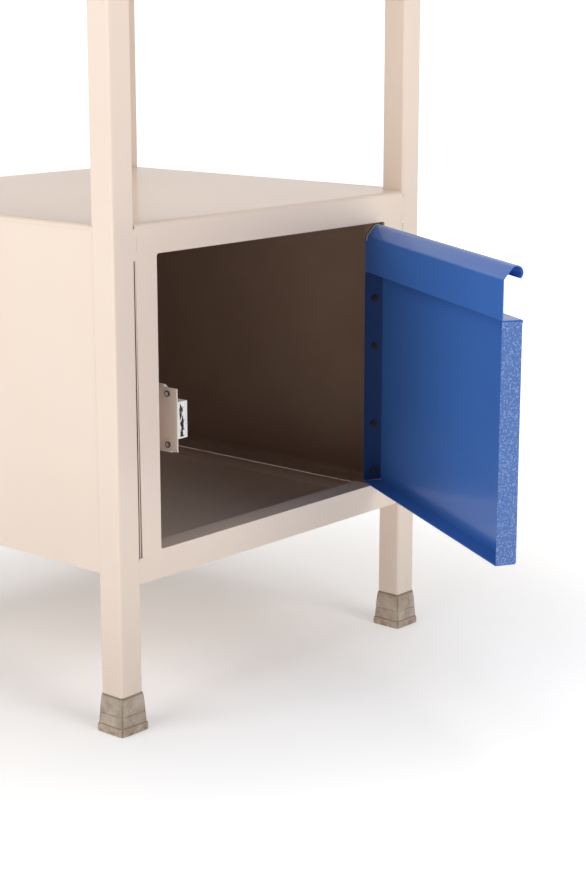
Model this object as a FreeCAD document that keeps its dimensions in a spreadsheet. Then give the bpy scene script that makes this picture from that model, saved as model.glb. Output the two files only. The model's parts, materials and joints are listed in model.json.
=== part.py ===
import FreeCAD, Part
import math
import os

import Sketcher

# A hospital bedside locker: four square-tube legs on rubber shoes, a sheet-steel cabinet with a
# hinged door, an open bay, and a drawer under a stainless worktop.
# X runs to the right along the front, Y to the back, Z up. The origin is on the floor, at the
# middle of the four legs. The door is modelled standing open.

DOC = FreeCAD.newDocument("bedside_cabinet")
Vector = FreeCAD.Vector

# name, value in millimetres (or degrees), meaning
SIZES = [
    ("width", 405.0, "across the legs, left to right"),
    ("depth", 405.0, "across the legs, front to back"),
    ("height", 810.0, "floor to worktop"),
    ("tube", 25.0, "side of the square tube"),
    ("tube_wall", 1.2, "wall of the tube"),
    ("tube_corner", 2.5, "outer corner radius of the tube"),
    ("sheet", 0.9, "steel sheet of panels, door and drawer"),
    ("bend", 1.0, "outer radius of a folded edge"),
    ("seam", 0.2, "clearance between pieces that are set side by side"),
    ("shoe_foot", 3.8, "how far a shoe's base stands out round the tube"),
    ("shoe_rim", 2.0, "how far a shoe's rim stands out round the tube"),
    ("shoe_tall", 34.0, "height of a shoe"),
    ("shoe_band", 6.6, "height of the band round a shoe's base"),
    ("shoe_step", 0.8, "how far the band stands out of the taper"),
    ("shoe_floor", 4.0, "rubber under the leg"),
    ("shoe_corner", 3.5, "corner radius of a shoe"),
    ("shoe_fit", 0.15, "gap round the leg in its shoe"),
    ("cabinet_low", 129.5, "underside of the cabinet"),
    ("cabinet_tall", 304.5, "cabinet, underside to top surface"),
    ("roll_front", 3.5, "radius of the cabinet top's front edge"),
    ("top_lip", 4.0, "depth of the cabinet top's edges"),
    ("tray_tall", 10.9, "height of the floor tray's sides"),
    ("side_top_flange", 9.0, "inward flange at the top of a panel"),
    ("rail_low", 25.5, "front frame under the opening"),
    ("rail_high", 26.5, "front frame above the opening"),
    ("stile_left", 25.0, "front frame left of the opening"),
    ("stile_right", 27.5, "front frame right of the opening"),
    ("opening_corner", 2.5, "corner radius of the opening"),
    ("jamb", 23.0, "depth of the returns round the opening"),
    ("slit_wide", 2.6, "gap between left leg and frame at its foot"),
    ("slit_narrow", 0.7, "the same gap at its top, and the whole right gap"),
    ("slit_end", 22.5, "closed length of frame below a slit"),
    ("slit_top", 30.5, "closed length of frame above a slit"),
    ("door_open", 60.0, "angle at which the door stands open"),
    ("door_deep", 18.5, "door, skin to inner face"),
    ("door_gap_foot", 3.5, "gap under the closed door"),
    ("door_gap_top", 1.5, "gap over the closed door"),
    ("door_gap_free", 1.4, "gap beside the closed door, catch side"),
    ("hinge_gap", 1.6, "gap beside the closed door, hinge side"),
    ("pull_tall", 43.6, "ledge to top of a finger pull"),
    ("pull_slope", 1.23, "rise of the pull's slope for one unit of run"),
    ("pull_roll", 6.1, "outer radius of the rolled lip"),
    ("lip_set", 0.8, "lip behind the skin"),
    ("lip_tall", 11.0, "top of the roll to the lip's edge"),
    ("pin_out", 2.1, "hinge pin in front of the skin"),
    ("pin_radius", 1.0, "hinge pin"),
    ("pin_play", 0.05, "radial running clearance on a hinge pin"),
    ("knuckle", 1.9, "outer radius of a hinge knuckle"),
    ("knuckle_play", 0.3, "end clearance between knuckles"),
    ("leaf", 0.7, "thickness of a hinge leaf"),
    ("leaf_long", 60.0, "length of a hinge"),
    ("leaf_wide", 18.0, "pin to the edge of a leaf"),
    ("leaf_hole", 46.0, "screw spacing in a leaf"),
    ("leaf_hole_in", 11.3, "pin to the screw line"),
    ("hinge_low", 192.3, "height of the lower hinge"),
    ("hinge_high", 313.2, "height of the upper hinge"),
    ("screw", 1.4, "screw shank radius"),
    ("screw_head", 2.6, "screw head radius"),
    ("screw_play", 0.1, "gap round a screw in its hole"),
    ("nut_flats", 3.1, "nut, centre to corner"),
    ("nut_tall", 2.2, "height of a nut"),
    ("thread_out", 1.2, "thread that shows past its nut"),
    ("bracket", 1.2, "thickness of the catch bracket"),
    ("bracket_low", 235.0, "foot of the catch bracket"),
    ("bracket_tall", 55.0, "height of the catch bracket"),
    ("catch_in", 23.0, "left jamb to the bracket's plate"),
    ("catch_back", 2.2, "jamb's rear edge to the bracket's cross web"),
    ("catch_gap", 1.0, "closed door's skin to the catch"),
    ("catch_wide", 11.3, "width of the catch body"),
    ("catch_deep", 26.0, "depth of the catch body"),
    ("catch_nose", 32.0, "height of the catch's nose"),
    ("catch_ear", 58.0, "height of the catch's mounting ear"),
    ("catch_ear_thick", 3.0, "thickness of the ear"),
    ("catch_hole", 44.5, "screw spacing of the catch"),
    ("catch_hole_in", 10.6, "front of the catch to its screws"),
    ("catch_wall", 1.3, "plastic round the magnet"),
    ("magnet_deep", 15.0, "magnet and pole plates, front to back"),
    ("pole", 1.0, "thickness of a pole plate"),
    ("pole_proud", 0.8, "pole plates in front of the magnet"),
    ("drawer_low", 665.0, "underside of the drawer case"),
    ("front_rail", 12.0, "height of the rail under the drawer"),
    ("drawer_gap", 1.5, "gap round the drawer front"),
    ("runner_tall", 8.4, "height of a runner"),
    ("runner_wide", 11.5, "width of a runner"),
    ("runner_height", 85.0, "drawer case floor to runner"),
    ("slide_thick", 6.0, "thickness of a slide bar"),
    ("slide_play", 0.3, "clearance of a slide bar in its runner"),
    ("box_side_gap", 13.5, "leg to the drawer box, each side"),
    ("box_low", 20.0, "drawer case floor to drawer box"),
    ("box_tall", 74.0, "height of the drawer box"),
    ("box_rear_gap", 26.5, "drawer box to the rear legs"),
    ("lug_set", 61.5, "rear of the drawer box to a lug's front"),
    ("lug_wide", 14.0, "width of a stop lug"),
    ("lug_up", 5.0, "how far a lug overlaps the top rail"),
    ("top_thick", 0.8, "worktop sheet"),
    ("top_skirt", 22.0, "depth of the worktop's skirt"),
    ("top_gap", 0.4, "gap between the skirt and the legs"),
    ("top_corner", 3.7, "corner radius of the worktop"),
    ("top_edge", 1.2, "radius of the worktop's top edge"),
]


class Size:
    """A length that carries its value and the spreadsheet expression that gives it."""

    def __init__(self, value, text):
        self.value = value
        self.text = text

    @staticmethod
    def of(other):
        return other if isinstance(other, Size) else Size(float(other), repr(float(other)))

    def __add__(self, other):
        other = Size.of(other)
        return Size(self.value + other.value, f"({self.text} + {other.text})")

    def __sub__(self, other):
        other = Size.of(other)
        return Size(self.value - other.value, f"({self.text} - {other.text})")

    def __mul__(self, other):
        other = Size.of(other)
        return Size(self.value * other.value, f"({self.text} * {other.text})")

    def __truediv__(self, other):
        other = Size.of(other)
        return Size(self.value / other.value, f"({self.text} / {other.text})")

    def __neg__(self):
        return Size(-self.value, f"(-{self.text})")

    __radd__ = __add__
    __rmul__ = __mul__

    def __rsub__(self, other):
        return Size.of(other) - self

    def root(self):
        return Size(math.sqrt(self.value), f"sqrt({self.text})")


def fill_sheet():
    """Write the driving dimensions into the spreadsheet and return them as Size values."""
    sheet = DOC.addObject("Spreadsheet::Sheet", "sizes")
    values = {}
    for row, (name, value, meaning) in enumerate(SIZES, start=1):
        sheet.set(f"A{row}", meaning)
        sheet.set(f"B{row}", str(value))
        sheet.setAlias(f"B{row}", name)
        values[name] = Size(value, f"sizes.{name}")
    DOC.recompute()
    return values


S = fill_sheet()
ZERO = Size.of(0)
SUBPARTS = []


def bind(item, prop, size):
    """Tie one property to the sheet."""
    item.setExpression(prop, Size.of(size).text)


def keep(item, place=(0, 0, 0), turn=0.0):
    """List a finished sub-part and place it; turn is about Z, in degrees or a Size."""
    bind(item, "Placement.Base.x", place[0])
    bind(item, "Placement.Base.y", place[1])
    bind(item, "Placement.Base.z", place[2])
    if isinstance(turn, Size):
        bind(item, "Placement.Rotation.Angle", turn)
    elif turn:
        item.Placement.Rotation = FreeCAD.Rotation(Vector(0, 0, 1), turn)
    SUBPARTS.append(item)
    return item


def new_body(label):
    body = DOC.addObject("PartDesign::Body", label)
    body.Label = label
    return body


def sketch_on(body, role, lift=ZERO):
    """A sketch on one of the body's own origin planes, lifted along the plane's normal."""
    sketch = body.newObject("Sketcher::SketchObject", f"{body.Name}_sketch")
    plane = [f for f in body.Origin.OriginFeatures if f.Role == role][0]
    sketch.AttachmentSupport = (plane, "")
    sketch.MapMode = "FlatFace"
    bind(sketch, "AttachmentOffset.Base.z", lift)
    return sketch


def fix(sketch, kind, geometry, point, size):
    """Hold one coordinate of a sketch point at a size from the origin."""
    index = sketch.addConstraint(Sketcher.Constraint(kind, -1, 1, geometry, point, size.value))
    sketch.setExpression(f"Constraints[{index}]", size.text)


def outline(sketch, points):
    """A closed outline of straight sides through points, each a pair of sizes."""
    points = [(Size.of(x), Size.of(y)) for x, y in points]
    corners = [Vector(x.value, y.value, 0) for x, y in points]
    first = sketch.GeometryCount
    count = len(points)
    for i in range(count):
        sketch.addGeometry(Part.LineSegment(corners[i], corners[(i + 1) % count]), False)
    for i in range(count):
        following = first + (i + 1) % count
        sketch.addConstraint(Sketcher.Constraint("Coincident", first + i, 2, following, 1))
    for i, (x, y) in enumerate(points):
        fix(sketch, "DistanceX", first + i, 1, x)
        fix(sketch, "DistanceY", first + i, 1, y)


def box_outline(sketch, x_low, x_high, y_low, y_high):
    outline(sketch, [(x_low, y_low), (x_high, y_low), (x_high, y_high), (x_low, y_high)])


def circle(sketch, x, y, radius):
    x, y, radius = Size.of(x), Size.of(y), Size.of(radius)
    index = sketch.GeometryCount
    sketch.addGeometry(Part.Circle(Vector(x.value, y.value, 0), Vector(0, 0, 1), radius.value))
    fix(sketch, "DistanceX", index, 3, x)
    fix(sketch, "DistanceY", index, 3, y)
    number = sketch.addConstraint(Sketcher.Constraint("Radius", index, radius.value))
    sketch.setExpression(f"Constraints[{number}]", radius.text)


def feature(body, kind, sketch, length, backwards=False):
    """A Pad or Pocket of a sketch; the body's tip moves to it."""
    item = body.newObject(f"PartDesign::{kind}", f"{body.Name}_{kind.lower()}")
    item.Profile = sketch
    bind(item, "Length", length)
    item.Reversed = backwards
    body.Tip = item
    DOC.recompute()
    return item


def pad(body, sketch, length, backwards=False):
    return feature(body, "Pad", sketch, length, backwards)


def pocket(body, sketch, length, backwards=False):
    """A Pocket that has to take material away."""
    before = body.Shape.Volume
    item = feature(body, "Pocket", sketch, length, backwards)
    if body.Shape.Volume >= before - 1e-6:
        raise RuntimeError(f"{item.Name} removes nothing")
    return item


def find_edges(shape, test):
    """Names of the straight edges for which test(middle, direction) is true."""
    names = []
    for number, edge in enumerate(shape.Edges, start=1):
        if len(edge.Vertexes) < 2:
            continue
        chord = edge.Vertexes[1].Point - edge.Vertexes[0].Point
        if abs(chord.Length - edge.Length) > 1e-6:
            continue
        if test(edge.CenterOfMass, chord.normalize()):
            names.append(f"Edge{number}")
    return names


def round_edges(body, radius, test):
    """Fillet the body's straight edges that pass the test."""
    base = body.Tip
    names = find_edges(base.Shape, test)
    if not names:
        raise RuntimeError(f"{body.Name}: no edge to round")
    item = body.newObject("PartDesign::Fillet", f"{body.Name}_fillet")
    item.Base = (base, names)
    bind(item, "Radius", radius)
    body.Tip = item
    DOC.recompute()
    return item


def near(a, b):
    return abs(a - Size.of(b).value) < 1e-4


def hollow(body, thickness, open_up):
    """Shell a solid block inwards and leave its top or bottom face open."""
    base = body.Tip
    box = base.Shape.BoundBox
    level = box.ZMax if open_up else box.ZMin
    names = [f"Face{i}" for i, f in enumerate(base.Shape.Faces, start=1)
             if abs(f.BoundBox.ZMin - level) < 1e-4 and abs(f.BoundBox.ZMax - level) < 1e-4]
    item = body.newObject("PartDesign::Thickness", f"{body.Name}_shell")
    item.Base = (base, names)
    bind(item, "Value", thickness)
    item.Reversed = True
    item.Mode = 0
    item.Join = 0
    body.Tip = item
    DOC.recompute()
    return item


# places that several pieces share
HALF_W = S["width"] / 2
HALF_D = S["depth"] / 2
BAY_W = HALF_W - S["tube"]
BAY_D = HALF_D - S["tube"]
FRONT = -HALF_D
LEG_TOP = S["height"] - S["top_thick"]
RAIL_LOW = LEG_TOP - S["tube"]
CABINET_TOP = S["cabinet_low"] + S["cabinet_tall"]
LIP_LOW = CABINET_TOP - S["top_lip"]
PANEL_LOW = S["cabinet_low"] + S["tray_tall"]
PANEL_TOP = LIP_LOW - S["seam"] * 2
OPEN_LEFT = -BAY_W + S["stile_left"]
OPEN_RIGHT = BAY_W - S["stile_right"]
OPEN_LOW = S["cabinet_low"] + S["rail_low"]
OPEN_HIGH = CABINET_TOP - S["rail_high"]
PIN_X = OPEN_RIGHT - S["hinge_gap"] / 2
PIN_Y = FRONT - S["pin_out"]
DOOR_WIDE = OPEN_RIGHT - OPEN_LEFT - S["hinge_gap"] - S["door_gap_free"]
DOOR_TALL = OPEN_HIGH - OPEN_LOW - S["door_gap_top"] - S["door_gap_foot"]
HINGE_HEIGHTS = {"lower": S["hinge_low"], "upper": S["hinge_high"]}
SIDES = {"left": -1, "right": 1}
ENDS = {"front": -1, "rear": 1}


def square_tube(label, length, role):
    """A rounded square tube along the normal of the plane, centred on it."""
    body = new_body(label)
    half = S["tube"] / 2
    bore = half - S["tube_wall"]
    sketch = sketch_on(body, role)
    box_outline(sketch, -half, half, -half, half)
    box_outline(sketch, -bore, bore, -bore, bore)
    pad(body, sketch, length)
    run = {"XY_Plane": 2, "XZ_Plane": 1, "YZ_Plane": 0}[role]

    def on_corner(distance):
        def test(middle, direction):
            across = [abs(middle[i]) for i in range(3) if i != run]
            return abs(direction[run]) > 0.99 and all(near(a, distance) for a in across)
        return test

    round_edges(body, S["tube_corner"], on_corner(half))
    round_edges(body, S["tube_corner"] - S["tube_wall"], on_corner(bore))
    return body


def legs():
    for end, back in ENDS.items():
        for side, right in SIDES.items():
            leg = square_tube(f"leg_{end}_{side}", LEG_TOP - S["shoe_floor"], "XY_Plane")
            centre_x = right * (HALF_W - S["tube"] / 2)
            centre_y = back * (HALF_D - S["tube"] / 2)
            keep(leg, (centre_x, centre_y, S["shoe_floor"]))


def shoes():
    """Moulded rubber shoes: a tapered block with a band round its base and a socket for the leg."""
    for end, back in ENDS.items():
        for side, right in SIDES.items():
            body = new_body(f"shoe_{end}_{side}")
            base = S["tube"] / 2 + S["shoe_foot"]
            foot = base - S["shoe_step"]
            rim = S["tube"] / 2 + S["shoe_rim"]
            low = sketch_on(body, "XY_Plane", S["shoe_band"])
            box_outline(low, -foot, foot, -foot, foot)
            high = sketch_on(body, "XY_Plane", S["shoe_tall"])
            box_outline(high, -rim, rim, -rim, rim)
            loft = body.newObject("PartDesign::AdditiveLoft", f"{body.Name}_taper")
            loft.Profile = low
            loft.Sections = [high]
            loft.Ruled = True
            body.Tip = loft
            DOC.recompute()
            round_edges(body, S["shoe_corner"], lambda m, d: abs(d.z) > 0.9)
            band = sketch_on(body, "XY_Plane")
            box_outline(band, -base, base, -base, base)
            pad(body, band, S["shoe_band"])
            round_edges(body, S["shoe_corner"],
                        lambda m, d: abs(d.z) > 0.99 and near(abs(m.x), base) and near(abs(m.y), base))
            socket = S["tube"] / 2 + S["shoe_fit"]
            hole = sketch_on(body, "XY_Plane", S["shoe_floor"])
            box_outline(hole, -socket, socket, -socket, socket)
            pocket(body, hole, S["shoe_tall"], backwards=True)
            round_edges(body, S["tube_corner"] + S["shoe_fit"],
                        lambda m, d: abs(d.z) > 0.99 and near(abs(m.x), socket) and near(abs(m.y), socket))
            keep(body, (right * (HALF_W - S["tube"] / 2), back * (HALF_D - S["tube"] / 2), ZERO))


def notch_corners(body, length):
    """Cut the four leg corners out of a sheet that covers the whole plan."""
    for back in ENDS.values():
        for right in SIDES.values():
            sketch = sketch_on(body, "XY_Plane")
            near_x, far_x = right * (BAY_W - S["seam"]), right * (HALF_W + S["tube"])
            near_y, far_y = back * (BAY_D - S["seam"]), back * (HALF_D + S["tube"])
            box_outline(sketch, near_x, far_x, near_y, far_y)
            pocket(body, sketch, length, backwards=True)


def cabinet_top():
    """A flat sheet between and around the legs, with rolled-down edges."""
    body = new_body("cabinet_top")
    sketch = sketch_on(body, "XY_Plane")
    box_outline(sketch, -HALF_W, HALF_W, -HALF_D, HALF_D)
    pad(body, sketch, S["top_lip"])
    lip = S["top_lip"].value

    def top_edge(middle, direction):
        return near(middle.z, lip) and abs(direction.z) < 0.01

    round_edges(body, S["roll_front"], lambda m, d: top_edge(m, d))
    hollow(body, S["sheet"], open_up=False)
    notch_corners(body, S["top_lip"])
    keep(body, (ZERO, ZERO, LIP_LOW))


def panel(label, length, low, top, foot_flange, top_flange, place, turn):
    """An upright panel folded inwards along its foot and its top.

    In its own frame the outer face is at x = 0, the inside is +X and the length runs along Y.
    """
    body = new_body(label)
    thin = S["sheet"]
    sketch = sketch_on(body, "XZ_Plane", -length / 2)
    outline(sketch, [(ZERO, low), (foot_flange, low), (foot_flange, low + thin), (thin, low + thin),
                     (thin, top - thin), (top_flange, top - thin), (top_flange, top), (ZERO, top)])
    pad(body, sketch, length)
    round_edges(body, S["bend"], lambda m, d: abs(d.y) > 0.99 and near(m.x, 0))
    keep(body, (place[0], place[1], ZERO), turn)


def case_panels(prefix, low, top, foot_flange):
    """The left, right and rear panels of the cabinet or the drawer case, between the legs."""
    flange = S["side_top_flange"]
    side = 2 * BAY_D
    panel(f"{prefix}_side_left", side, low, top, foot_flange, flange, (-HALF_W, ZERO), 0.0)
    panel(f"{prefix}_side_right", side, low, top, foot_flange, flange, (HALF_W, ZERO), 180.0)
    panel(f"{prefix}_back", 2 * BAY_W, low, top, foot_flange, flange, (ZERO, HALF_D), -90.0)


def floor_tray(label, low, tall, length_front):
    """A shallow tray between the legs, open upwards."""
    body = new_body(label)
    sketch = sketch_on(body, "XY_Plane")
    edge = BAY_W - S["seam"]
    box_outline(sketch, -edge, edge, length_front, BAY_D - S["seam"])
    pad(body, sketch, tall)
    round_edges(body, S["bend"] + S["sheet"], lambda m, d: near(m.z, 0) and abs(d.z) < 0.01)
    hollow(body, S["sheet"], open_up=True)
    keep(body, (ZERO, ZERO, low))


def front_frame():
    """The pressed front: a plate with the door opening, its returns, and the slits at the legs."""
    body = new_body("front_frame")
    low, top = S["cabinet_low"], LIP_LOW
    slit_low, slit_high = low + S["slit_end"], CABINET_TOP - S["slit_top"]
    plate = sketch_on(body, "XZ_Plane", HALF_D)
    left, right = -BAY_W, BAY_W
    outline(plate, [(left, low), (right, low), (right, slit_low), (right - S["slit_narrow"], slit_low),
                    (right - S["slit_narrow"], slit_high), (right, slit_high), (right, top),
                    (left, top), (left, slit_high), (left + S["slit_narrow"], slit_high),
                    (left + S["slit_wide"], slit_low), (left, slit_low)])
    pad(body, plate, S["sheet"], backwards=True)
    thin = S["sheet"]
    ring = sketch_on(body, "XZ_Plane", HALF_D)
    box_outline(ring, OPEN_LEFT - thin, OPEN_RIGHT + thin, OPEN_LOW - thin, OPEN_HIGH + thin)
    pad(body, ring, S["jamb"], backwards=True)
    hole = sketch_on(body, "XZ_Plane", HALF_D + thin)
    box_outline(hole, OPEN_LEFT, OPEN_RIGHT, OPEN_LOW, OPEN_HIGH)
    pocket(body, hole, S["jamb"] + 2 * thin)
    for out in (ZERO, thin):
        across, up = (OPEN_LEFT - out, OPEN_RIGHT + out), (OPEN_LOW - out, OPEN_HIGH + out)
        round_edges(body, S["opening_corner"] + out,
                    lambda m, d: abs(d.y) > 0.99 and any(near(m.x, c) for c in across)
                    and any(near(m.z, c) for c in up))
    keep(body)


def pull_heights(tall):
    """Heights of a pull's ledge, and of its web's top, which lets the roll end level with the front."""
    slope, roll = S["pull_slope"], S["pull_roll"]
    run = S["door_deep"] - S["lip_set"] - roll
    return tall - S["pull_tall"], tall - roll - run * slope + roll * (1 + slope * slope).root()


def pull_section(body, lift, tall):
    """Sketch the folded section of a door or drawer front across its width.

    Sketch x is the depth behind the skin, and y the height above the front's foot. The sheet runs
    from the foot flange up the skin, back along a ledge, up a web and over a rolled lip.
    """
    thin, deep, slope = S["sheet"], S["door_deep"], S["pull_slope"]
    ledge, web = pull_heights(tall)
    rise = thin * (1 + slope * slope).root()
    lip = S["lip_set"]
    lip_foot = tall - S["lip_tall"]
    sketch = sketch_on(body, "YZ_Plane", lift)
    outline(sketch, [
        (deep, ZERO), (ZERO, ZERO), (ZERO, ledge), (deep - thin, ledge),
        (deep - thin, web + thin * slope - rise), (lip + thin, web + (deep - lip - thin) * slope - rise),
        (lip + thin, lip_foot), (lip, lip_foot), (lip, web + (deep - lip) * slope), (deep, web),
        (deep, ledge - thin), (thin, ledge - thin), (thin, thin), (deep, thin)])
    return sketch, ledge, web


def pull_front(body, wide, tall):
    """A pressed front with a finger pull, from x = 0 to the left, its foot at z = 0."""
    thin, deep = S["sheet"], S["door_deep"]
    sketch, ledge, web = pull_section(body, ZERO, tall)
    pad(body, sketch, wide, backwards=True)
    lip, slope = S["lip_set"], S["pull_slope"]
    outer = web + (deep - lip) * slope
    inner = outer - thin * slope - thin * (1 + slope * slope).root()
    round_edges(body, S["pull_roll"], lambda m, d: abs(d.x) > 0.99 and near(m.y, lip) and near(m.z, outer))
    round_edges(body, S["pull_roll"] - thin,
                lambda m, d: abs(d.x) > 0.99 and near(m.y, lip + thin) and near(m.z, inner))
    round_edges(body, S["bend"], lambda m, d: abs(d.x) > 0.99 and near(m.y, 0))
    for start in (ZERO, thin - wide):
        flange = sketch_on(body, "YZ_Plane", start)
        box_outline(flange, S["bend"], deep, ZERO, ledge)
        pad(body, flange, thin, backwards=True)
        skin = sketch_on(body, "YZ_Plane", start)
        box_outline(skin, ZERO, deep / 2, S["bend"], ledge - S["bend"])
        pad(body, skin, thin, backwards=True)


def door_panel():
    body = new_body("door_panel")
    pull_front(body, DOOR_WIDE, DOOR_TALL)
    flange_holes = sketch_on(body, "YZ_Plane", S["sheet"])
    foot = OPEN_LOW + S["door_gap_foot"]
    for height in HINGE_HEIGHTS.values():
        for way in (-1, 1):
            circle(flange_holes, S["leaf_hole_in"] - S["pin_out"],
                   height - foot + way * S["leaf_hole"] / 2, S["screw"] + S["screw_play"])
    pocket(body, flange_holes, S["sheet"] * 3)
    return body


def hang(item, x, y, z):
    """Place a piece of the door from its place beside the pin, turned open with the door.

    x and y are measured from the hinge pin with the door closed, and z from the floor.
    """
    turn_x, turn_y = turned(x, y)
    keep(item, (PIN_X + turn_x, PIN_Y + turn_y, z), S["door_open"])


def turned(x, y):
    """Turn a point about the pin by the angle at which the door stands open."""
    angle = math.radians(S["door_open"].value)
    x, y = Size.of(x), Size.of(y)
    cos = Size(math.cos(angle), f"cos({S['door_open'].text} * 1 deg)")
    sin = Size(math.sin(angle), f"sin({S['door_open'].text} * 1 deg)")
    return x * cos - y * sin, x * sin + y * cos


def hinge_leaf(label, own_ends, side):
    """One leaf of a butt hinge; side is +1 for the frame's leaf and -1 for the door's.

    The pin runs along Z through the origin. own_ends is true for the leaf with two end knuckles.
    """
    body = new_body(label)
    long, play = S["leaf_long"], S["knuckle_play"]
    near_x = side * (S["hinge_gap"] / 2 - S["leaf"])
    far_x = side * (S["hinge_gap"] / 2)
    clear = S["knuckle"] + play
    plate = sketch_on(body, "XY_Plane", -long / 2)
    box_outline(plate, near_x, far_x, clear, S["leaf_wide"])
    pad(body, plate, long)
    third = long / 3
    spans = [(-long / 2, third - play / 2), (third / 2 + play / 2, third - play / 2)]
    if not own_ends:
        spans = [(-third / 2 + play / 2, third - play)]
    for start, length in spans:
        arm = sketch_on(body, "XY_Plane", start)
        box_outline(arm, near_x, far_x, ZERO, clear + play)
        pad(body, arm, length)
        barrel = sketch_on(body, "XY_Plane", start)
        circle(barrel, 0, 0, S["knuckle"])
        pad(body, barrel, length)
    bore = sketch_on(body, "XY_Plane", -long)
    circle(bore, 0, 0, S["pin_radius"] + S["pin_play"])
    pocket(body, bore, 2 * long, backwards=True)
    for way in (-1, 1):
        countersink = body.newObject("PartDesign::SubtractiveCone", f"{body.Name}_sink")
        bind(countersink, "Radius1", S["screw_head"] + S["screw_play"])
        bind(countersink, "Radius2", S["screw"] + S["screw_play"])
        bind(countersink, "Height", S["leaf"])
        countersink.Placement.Rotation = FreeCAD.Rotation(Vector(0, 1, 0), 90.0 * side)
        bind(countersink, "Placement.Base.x", near_x)
        bind(countersink, "Placement.Base.y", S["leaf_hole_in"])
        bind(countersink, "Placement.Base.z", way * S["leaf_hole"] / 2)
        body.Tip = countersink
        DOC.recompute()
    return body


def part_object(kind, label, **sizes):
    """A Part primitive whose named properties are bound to sizes."""
    item = DOC.addObject(kind, label)
    for name, size in sizes.items():
        bind(item, name, size)
    return item


def hinge_pin(label, height):
    """A plain pin with a low head at each end."""
    long = S["leaf_long"]
    shaft = part_object("Part::Cylinder", f"{label}_shaft", Radius=S["pin_radius"], Height=long)
    bind(shaft, "Placement.Base.z", -long / 2)
    heads = []
    for way, start in ((-1, -long / 2 - S["leaf"]), (1, long / 2)):
        head = part_object("Part::Cylinder", f"{label}_head", Radius=S["pin_radius"] * 1.6, Height=S["leaf"])
        bind(head, "Placement.Base.z", start)
        heads.append(head)
    pin = DOC.addObject("Part::MultiFuse", label)
    pin.Label = label
    pin.Shapes = [shaft] + heads
    keep(pin, (PIN_X, PIN_Y, height))


def group(label, items, place=(0, 0, 0), turn=0.0):
    """One node that holds several equal pieces."""
    compound = DOC.addObject("Part::Compound", label)
    compound.Label = label
    compound.Links = items
    keep(compound, place, turn)


def lie_along_x(item, x, y, z, way):
    """Lay a piece that was made along Z so that it points along +X or -X from a point."""
    item.Placement.Rotation = FreeCAD.Rotation(Vector(0, 1, 0), 90.0 * way)
    bind(item, "Placement.Base.x", x)
    bind(item, "Placement.Base.y", y)
    bind(item, "Placement.Base.z", z)


def sink_screw(name, length):
    """A countersunk screw: the head's face at z = 0 and the shank along +Z."""
    head = part_object("Part::Cone", f"{name}_head", Radius1=S["screw_head"], Radius2=S["screw"],
                       Height=S["leaf"])
    shank = part_object("Part::Cylinder", f"{name}_shank", Radius=S["screw"], Height=length)
    fuse = DOC.addObject("Part::MultiFuse", name)
    fuse.Shapes = [head, shank]
    return fuse


def dome_screw(name, length):
    """A pan-head screw: the head behind z = 0 and the shank along +Z."""
    head = part_object("Part::Cylinder", f"{name}_head", Radius=S["screw_head"], Height=S["leaf"] * 2)
    bind(head, "Placement.Base.z", -S["leaf"] * 2)
    shank = part_object("Part::Cylinder", f"{name}_shank", Radius=S["screw"], Height=length)
    fuse = DOC.addObject("Part::MultiFuse", name)
    fuse.Shapes = [head, shank]
    return fuse


def nut(name):
    """A hexagon nut with its seat at z = 0."""
    block = part_object("Part::Prism", f"{name}_block", Circumradius=S["nut_flats"], Height=S["nut_tall"])
    block.Polygon = 6
    bore = part_object("Part::Cylinder", f"{name}_bore", Radius=S["screw"] + S["pin_play"],
                       Height=S["nut_tall"] * 2)
    bind(bore, "Placement.Base.z", -S["nut_tall"] / 2)
    cut = DOC.addObject("Part::Cut", name)
    cut.Base = block
    cut.Tool = bore
    return cut


def hinges():
    """Two butt hinges: their leaves and pins, and the screws and nuts that hold them."""
    wall = S["sheet"]
    shank = S["leaf"] + wall + S["nut_tall"] + S["thread_out"]
    fixings = {"frame": ([], []), "door": ([], [])}
    for place, height in HINGE_HEIGHTS.items():
        frame_leaf = hinge_leaf(f"hinge_frame_leaf_{place}", True, 1)
        keep(frame_leaf, (PIN_X, PIN_Y, height))
        door_leaf = hinge_leaf(f"hinge_door_leaf_{place}", False, -1)
        hang(door_leaf, 0, 0, height)
        hinge_pin(f"hinge_pin_{place}", height)
        for way in (-1, 1):
            level = height + way * S["leaf_hole"] / 2
            for owner, side in (("frame", 1), ("door", -1)):
                tag = f"{owner}_{place}_{way + 1}"
                screw = sink_screw(f"screw_{tag}", shank)
                near_x = side * (S["hinge_gap"] / 2 - S["leaf"])
                lie_along_x(screw, near_x, S["leaf_hole_in"], level, side)
                seat = nut(f"nut_{tag}")
                lie_along_x(seat, side * (S["hinge_gap"] / 2 + wall), S["leaf_hole_in"], level, side)
                fixings[owner][0].append(screw)
                fixings[owner][1].append(seat)
    group("hinge_frame_screws", fixings["frame"][0], (PIN_X, PIN_Y, ZERO))
    group("hinge_frame_nuts", fixings["frame"][1], (PIN_X, PIN_Y, ZERO))
    group("hinge_door_screws", fixings["door"][0], (PIN_X, PIN_Y, ZERO), S["door_open"])
    group("hinge_door_nuts", fixings["door"][1], (PIN_X, PIN_Y, ZERO), S["door_open"])


def drill_frame(body):
    """Screw holes of the hinges in the right jamb."""
    holes = sketch_on(body, "YZ_Plane", OPEN_RIGHT - S["sheet"])
    for height in HINGE_HEIGHTS.values():
        for way in (-1, 1):
            circle(holes, PIN_Y + S["leaf_hole_in"], height + way * S["leaf_hole"] / 2,
                   S["screw"] + S["screw_play"])
    pocket(body, holes, S["sheet"] * 3, backwards=True)


# the catch: its plate stands clear of the door's free flange, inside the hollow of the closed door
PLATE_X = OPEN_LEFT + S["catch_in"]
CATCH_X = PLATE_X + S["bracket"]
CATCH_Y = FRONT + S["sheet"] + S["catch_gap"]
CATCH_Z = S["bracket_low"] + S["bracket_tall"] / 2
CROSS_Y = FRONT + S["jamb"] + S["catch_back"]


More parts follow.
